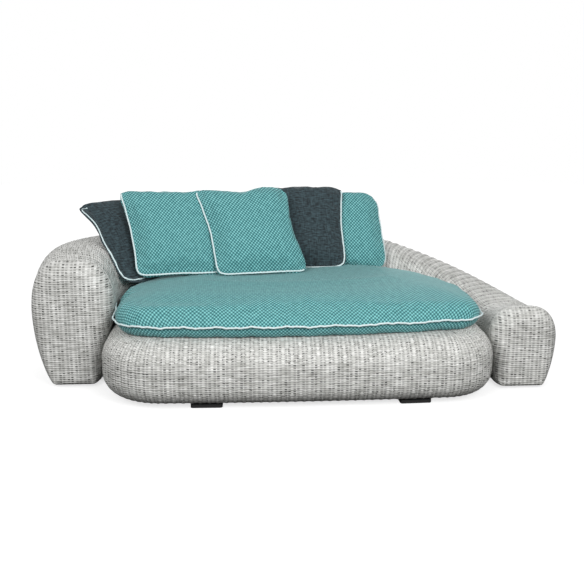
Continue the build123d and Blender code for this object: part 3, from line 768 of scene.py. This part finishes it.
def make_seat_cushion():
    """The seat cushion: two panels sewn in one seam, laid over the CAD form and then filled."""
    low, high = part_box("seat_cushion_cover")
    piping_low, piping_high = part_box("seat_cushion_piping")
    seam_height = (piping_low[2] + piping_high[2]) / 2
    tree = surface_tree(frame["nodes"]["seat_cushion_cover"].data)
    points = outline_of("seat_cushion_cover", seam_height - 0.0005)
    count = round(even_loop(points, 1)[1] / cushion_step)
    seam, length = even_loop(points, count)
    middle_y = (low[1] + high[1]) / 2
    half_depth = (high[1] - low[1]) / 2
    spine_left, spine_right = low[0] + half_depth, high[0] - half_depth
    spine_steps = round((spine_right - spine_left) / (2 * cushion_step))
    rings = seat_rings
    seam_out = []
    for number in range(count):
        ahead = seam[(number + 1) % count] - seam[number - 1]
        seam_out.append(Vector((ahead.y, -ahead.x, 0)).normalized())

    def spine(point, stepped=False):
        """The spine point that a seam point's threads run to. Steps let the last rings of both sides meet."""
        share = min(max((point.x - spine_left) / (spine_right - spine_left), 0), 1)
        if stepped:
            share = round(share * spine_steps) / spine_steps
        return Vector((spine_left + share * (spine_right - spine_left), middle_y, 0))

    def wave(column):
        """How far the seam rises at a column. The waves bunch up and spread out, as sewn piping does."""
        angle = 2 * math.pi * column / count
        slow = math.sin(slow_waves * angle + 1 + 2 * math.sin(3 * angle))
        fine = math.sin(fine_waves * angle + 2 * math.sin(9 * angle))
        small = small_wave * math.sin(small_waves * angle) + fine_wave * fine
        return slow_wave * slow + small

    def tip(column):
        """How near a seam point is to the cushion's left or right end, as a share."""
        reach = min(abs(seam[column].x - low[0]), abs(seam[column].x - high[0]))
        return math.exp(-((reach / tip_reach) ** 2) - ((seam[column].y - tip_line) / (2 * tip_reach)) ** 2)

    def fuller(column):
        """How far the cushion's left end fills out behind its tip."""
        if seam[column].x >= spine_left:
            return 0
        return left_fill * math.exp(-(((seam[column].y - left_fill_line) / left_fill_spread) ** 2))

    def place(column, row):
        edge = seam[column] + seam_out[column] * (tip_pull * tip(column) + fuller(column))
        lift = wave(column) + tip_lift * tip(column)
        if row == rings:
            return Vector((edge.x, edge.y, seam_height + lift))
        share = abs(row - rings) / rings
        flat = edge.lerp(spine(edge, share == 1), 1 - (1 - share) ** ring_crowding)
        start, way = (high[2] + ray_clearance, -1) if row > rings else (low[2] - ray_clearance, 1)
        hit = cast(tree, Vector((flat.x, flat.y, start)), Vector((0, 0, way)))
        height = hit.z if hit else seam_height
        full = left_puff if edge.x < spine_left else edge_puff
        puffed = full * math.exp(-(((share - puff_place) / puff_spread) ** 2)) if row > rings else 0
        lifted = lift * math.exp(-((share * rings / wave_fade) ** 2))
        return Vector((flat.x, flat.y, height + puffed + lifted))

    # The top panel's cloth is cut flat: each column's length over the dome is laid out towards the spine.
    laid = []
    for number in range(count):
        arcs = [0.0]
        for row in range(rings, 2 * rings):
            arcs.append(arcs[-1] + (place(number, row + 1) - place(number, row)).length)
        inward = spine(seam[number]) - seam[number]
        inward.z = 0
        stretch = inward.length / arcs[-1]
        laid.append([seam[number] + inward.normalized() * arc * stretch for arc in arcs])

    def run(column, row, middle_row):
        if middle_row > rings:
            spot = laid[column % count][row - rings]
            return (spot.x, spot.y)
        return (length * column / count, place(column % count, row).z)

    piece = skin_grid("seat_cushion", count, 2 * rings, place, run, True, False)
    edge_tree = point_tree([place(number, rings) for number in range(count)])
    held = [vertex.index for vertex in piece.data.vertices if vertex.co.z < low[2] + seat_rest]
    held += [vertex.index for vertex in piece.data.vertices if edge_tree.find(vertex.co)[2] < seam_reach]
    puff(piece, held, *seat_filling)
    smooth_finish(piece)
    dress(piece, "teal_fabric", "seat_cushion_cover", "seat_cushion_core")
    wavy = []
    for number in range(count):
        out = piping_radius + piping_waver * math.sin(piping_wavers * 2 * math.pi * number / count + 0.5)
        wavy.append(place(number, rings) + seam_out[number] * (out + ear_reach * tip(number) ** 6))
    cord_round("seat_piping", wavy, piping_radius, "piping", "seat_cushion_piping")


def corner_pull(across, level):
    """How far a panel's corner is drawn in, as a share."""
    near_side = max(0, (abs(across) - corner_line) / (1 - corner_line))
    near_top = max(0, (abs(level) - corner_line) / (1 - corner_line))
    return corner_draw * near_side**corner_bend * near_top**corner_bend


def along_edge(reaches, share):
    """A reach read from five even places along an edge, eased between them."""
    place = min(max(share, 0), edge_end) * (len(reaches) - 1)
    first, part = int(place), place % 1
    eased = part * part * (3 - 2 * part)
    return reaches[first] * (1 - eased) + reaches[first + 1] * eased


def near_edge(value):
    """One at an edge of a panel, falling to nought at the edge band's inner side."""
    share = min(max((abs(value) - (1 - edge_band)) / edge_band, 0), 1)
    return share * share * (3 - 2 * share)


def smoothed(values, reach, nought):
    """Values round a closed loop, each made the mean of itself and those within a reach on either side."""
    window = range(-reach, reach + 1)
    sums = [sum((values[(n + shift) % len(values)] for shift in window), nought) for n in range(len(values))]
    return [total / len(window) for total in sums]


def make_pillow(name, size, wall):
    """A scatter pillow of two sewn panels, crowned, leaning as its CAD solid does, and its piping."""
    half, height, thickness = size["width"] / 2, size["height"], size["thickness"]
    turn, lean = math.radians(size["turn"]), math.radians(size["lean"])
    grid = pillow_grid

    def to_sofa(across, depth, level):
        x = across + size["slump"] * level / height
        y = depth * math.cos(lean) + level * math.sin(lean)
        z = level * math.cos(lean) - depth * math.sin(lean)
        return Vector(
            (
                size["x"] + x * math.cos(turn) - y * math.sin(turn),
                size["y"] + x * math.sin(turn) + y * math.cos(turn),
                size["z"] + z,
            )
        )

    def eased(value):
        return math.sin(value * math.pi / 2) * panel_ease + value * (1 - panel_ease)

    def panel_point(across, level, side):
        pull = 1 - corner_pull(across, level)
        drawn = 1 - pillow_draw_in / half * (1 - level**2)
        crown = (1 - abs(across) ** crown_side) ** crown_top * (1 - abs(level) ** crown_side) ** crown_top
        spot = Vector((across * half, level * height / 2, size["x"] * pillow_shift + side * side_shift))
        folds = noise.noise(spot * fold_grain) * fold_relief
        from_side, from_end = half * (1 - abs(across)), height / 2 * (1 - abs(level))
        puckers = 0
        for run_length, inset, grain in zip((spot.y, spot.x), (from_side, from_end), pucker_grain):
            turn_on = 2 * math.pi * run_length / pucker_spacing + pucker_drift * noise.noise(spot * grain)
            puckers += math.sin(turn_on) * math.exp(-inset / pucker_fade)
        depth = side * crown * (thickness / 2 * pillow_fullness + folds + puckers * pucker_relief)
        left_share, low_share = (1 - across) / 2, (1 - level) / 2
        x = across * pull * drawn * half
        x += along_edge(size["right"], 1 - low_share) * (1 - left_share) ** 2
        x -= along_edge(size["left"], 1 - low_share) * left_share**2
        z = height / 2 * (1 + level * pull)
        z += along_edge(size["top"], 1 - left_share) * (1 - low_share) ** 2
        z -= along_edge(size["bottom"], 1 - left_share) * low_share**2
        return to_sofa(x, depth, z)

    def place(column, row):
        side = -1 if column <= grid else 1
        across = -1 + 2 * column / grid if column <= grid else 3 - 2 * column / grid
        return panel_point(eased(across), eased(-1 + 2 * row / grid), side)

    def run(column, row, middle_row):
        across = -1 + 2 * column / grid if column <= grid else 3 - 2 * column / grid
        return (eased(across) * half, eased(-1 + 2 * row / grid) * height / 2)

    piece = skin_grid(name + "_cover", 2 * grid, grid, place, run, True, False)
    edges = [(-1 + 2 * n / grid, -1) for n in range(grid)] + [(1, -1 + 2 * n / grid) for n in range(grid)]
    edges += [(1 - 2 * n / grid, 1) for n in range(grid)] + [(-1, 1 - 2 * n / grid) for n in range(grid)]
    rolls = [size["roll"][number // grid] for number in range(4 * grid)]
    rolls = smoothed(rolls, roll_window, 0)
    path = []
    for (across, level), roll in zip(edges, rolls):
        across, level = eased(across), eased(level)
        across -= math.copysign(near_edge(across) * abs(roll) / half, across)
        level -= math.copysign(near_edge(level) * abs(roll) / (height / 2), level)
        path.append(Vector((across, level)))
    for repeat in range(corner_rounds):
        path = smoothed(path, corner_window, Vector((0, 0)))
    seam = [panel_point(*point, -1 if roll > 0 else 1) for point, roll in zip(path, rolls)]
    seam_tree = point_tree(seam)
    form = bmesh.new()
    form.from_mesh(piece.data)
    bmesh.ops.remove_doubles(form, verts=form.verts[:], dist=weld_distance)
    bmesh.ops.recalc_face_normals(form, faces=form.faces[:])
    for vertex in form.verts:
        spot, normal = wall.find_nearest(vertex.co)[:2]
        gap = (vertex.co - spot).dot(normal)
        if gap < wall_clearance and (vertex.co - spot).length < wall_reach:
            vertex.co += normal * (wall_clearance - gap)
    form.normal_update()
    normals = {vertex: vertex.normal.copy() for vertex in form.verts}
    for vertex, normal in normals.items():
        away = seam_tree.find(vertex.co)[2] / seam_groove_width
        vertex.co -= normal * seam_groove * math.exp(-away * away)
    form.to_mesh(piece.data)
    form.free()
    held = [v.index for v in piece.data.vertices if seam_tree.find(v.co)[2] < seam_groove_width]
    puff(piece, held, *pillow_filling)
    surface = surface_tree(piece.data)
    smooth_finish(piece)
    slot_name = "dark_fabric" if name.startswith("dark") else "teal_fabric"
    dress(piece, slot_name, name)
    cord = []
    for point in seam:
        spot, normal = surface.find_nearest(point)[:2]
        cord.append(spot + normal * piping_radius * piping_seat_share)
    cord_round(name + "_cord", cord, piping_radius, "piping", name + "_piping")


# Studio


def make_stage():
    """A white floor that keeps a faint shadow, a white world, and soft lamps in front, behind and beside."""
    floor_mesh = bpy.data.meshes.new("floor")
    floor_form = bmesh.new()
    bmesh.ops.create_circle(floor_form, cap_ends=True, segments=stage_sides, radius=stage_radius)
    floor_form.to_mesh(floor_mesh)
    floor_form.free()
    floor = bpy.data.objects.new("floor", floor_mesh)
    bpy.context.scene.collection.objects.link(floor)
    material, tree, shader = start_finish("painted_floor", Roughness=0.9)
    seen = node(tree, "LightPath")
    spot = node(tree, "TexCoord", output=3)
    away = node(tree, "VectorMath", [spot], 1, operation="LENGTH")
    glow = node(
        tree, "MapRange", [away, glow_start, glow_end, floor_glow, 1], interpolation_type="SMOOTHSTEP"
    )
    under = node(tree, "Mapping", {"Vector": spot, "Scale": under_stretch})
    under = node(tree, "VectorMath", [under], 1, operation="LENGTH")
    under = node(tree, "MapRange", [under, under_start, under_end], interpolation_type="SMOOTHSTEP")
    glow = node(tree, "Math", [glow, under], operation="MULTIPLY")
    glow = node(tree, "Math", [glow, seen], operation="MULTIPLY")
    shade = node(tree, "MapRange", [away, glow_start, glow_end, 1, 0], interpolation_type="SMOOTHSTEP")
    lit = node(tree, "Mix", {0: seen, 6: "#2E2E2E", 7: "#A6A6A6"}, 2, data_type="RGBA")
    lit = node(tree, "Mix", {0: shade, 6: "#000000", 7: lit}, 2, data_type="RGBA")
    tree.links.new(lit, shader.inputs["Base Color"])
    shader.inputs["Emission Color"].default_value = linear("#FFFFFF")
    tree.links.new(glow, shader.inputs["Emission Strength"])
    floor.data.materials.append(material)
    world = bpy.data.worlds.new("studio")
    bpy.context.scene.world = world
    world.use_nodes = True
    tree = world.node_tree
    background = tree.nodes["Background"]
    seen = node(tree, "LightPath")
    seen = node(tree, "Math", [seen, seen.node.outputs["Is Glossy Ray"]], operation="MAXIMUM")
    strength = node(tree, "MapRange", [seen, 0, 1, world_strength, 1])
    background.inputs["Color"].default_value = linear("#FFFFFF")
    tree.links.new(strength, background.inputs["Strength"])
    for name, place, size, power in lamps:
        lamp = bpy.data.lights.new(name, "AREA")
        lamp.size = size
        lamp.energy = power
        lamp_object = bpy.data.objects.new(name, lamp)
        lamp_object.location = place
        lamp_object.rotation_euler = (Vector(lamp_aim) - Vector(place)).to_track_quat("-Z", "Y").to_euler()
        bpy.context.scene.collection.objects.link(lamp_object)


def make_camera():
    """The camera at the photograph's place."""
    camera = bpy.data.cameras.new("camera")
    camera.lens = camera_lens
    camera.sensor_width = sensor_width
    camera_object = bpy.data.objects.new("camera", camera)
    camera_object.location = camera_place
    camera_object.rotation_euler = (math.radians(90 - camera_pitch), 0, math.radians(-camera_yaw))
    bpy.context.scene.collection.objects.link(camera_object)
    bpy.context.scene.camera = camera_object


make_pod_skin()
back_wall = surface_tree(make_back_skin().data)
make_seat_cushion()
for pillow_name, pillow_size in pillow_sizes.items():
    make_pillow(pillow_name, pillow_size, back_wall)
make_stage()
make_camera()
bpy.context.scene.view_settings.view_transform = "Standard"
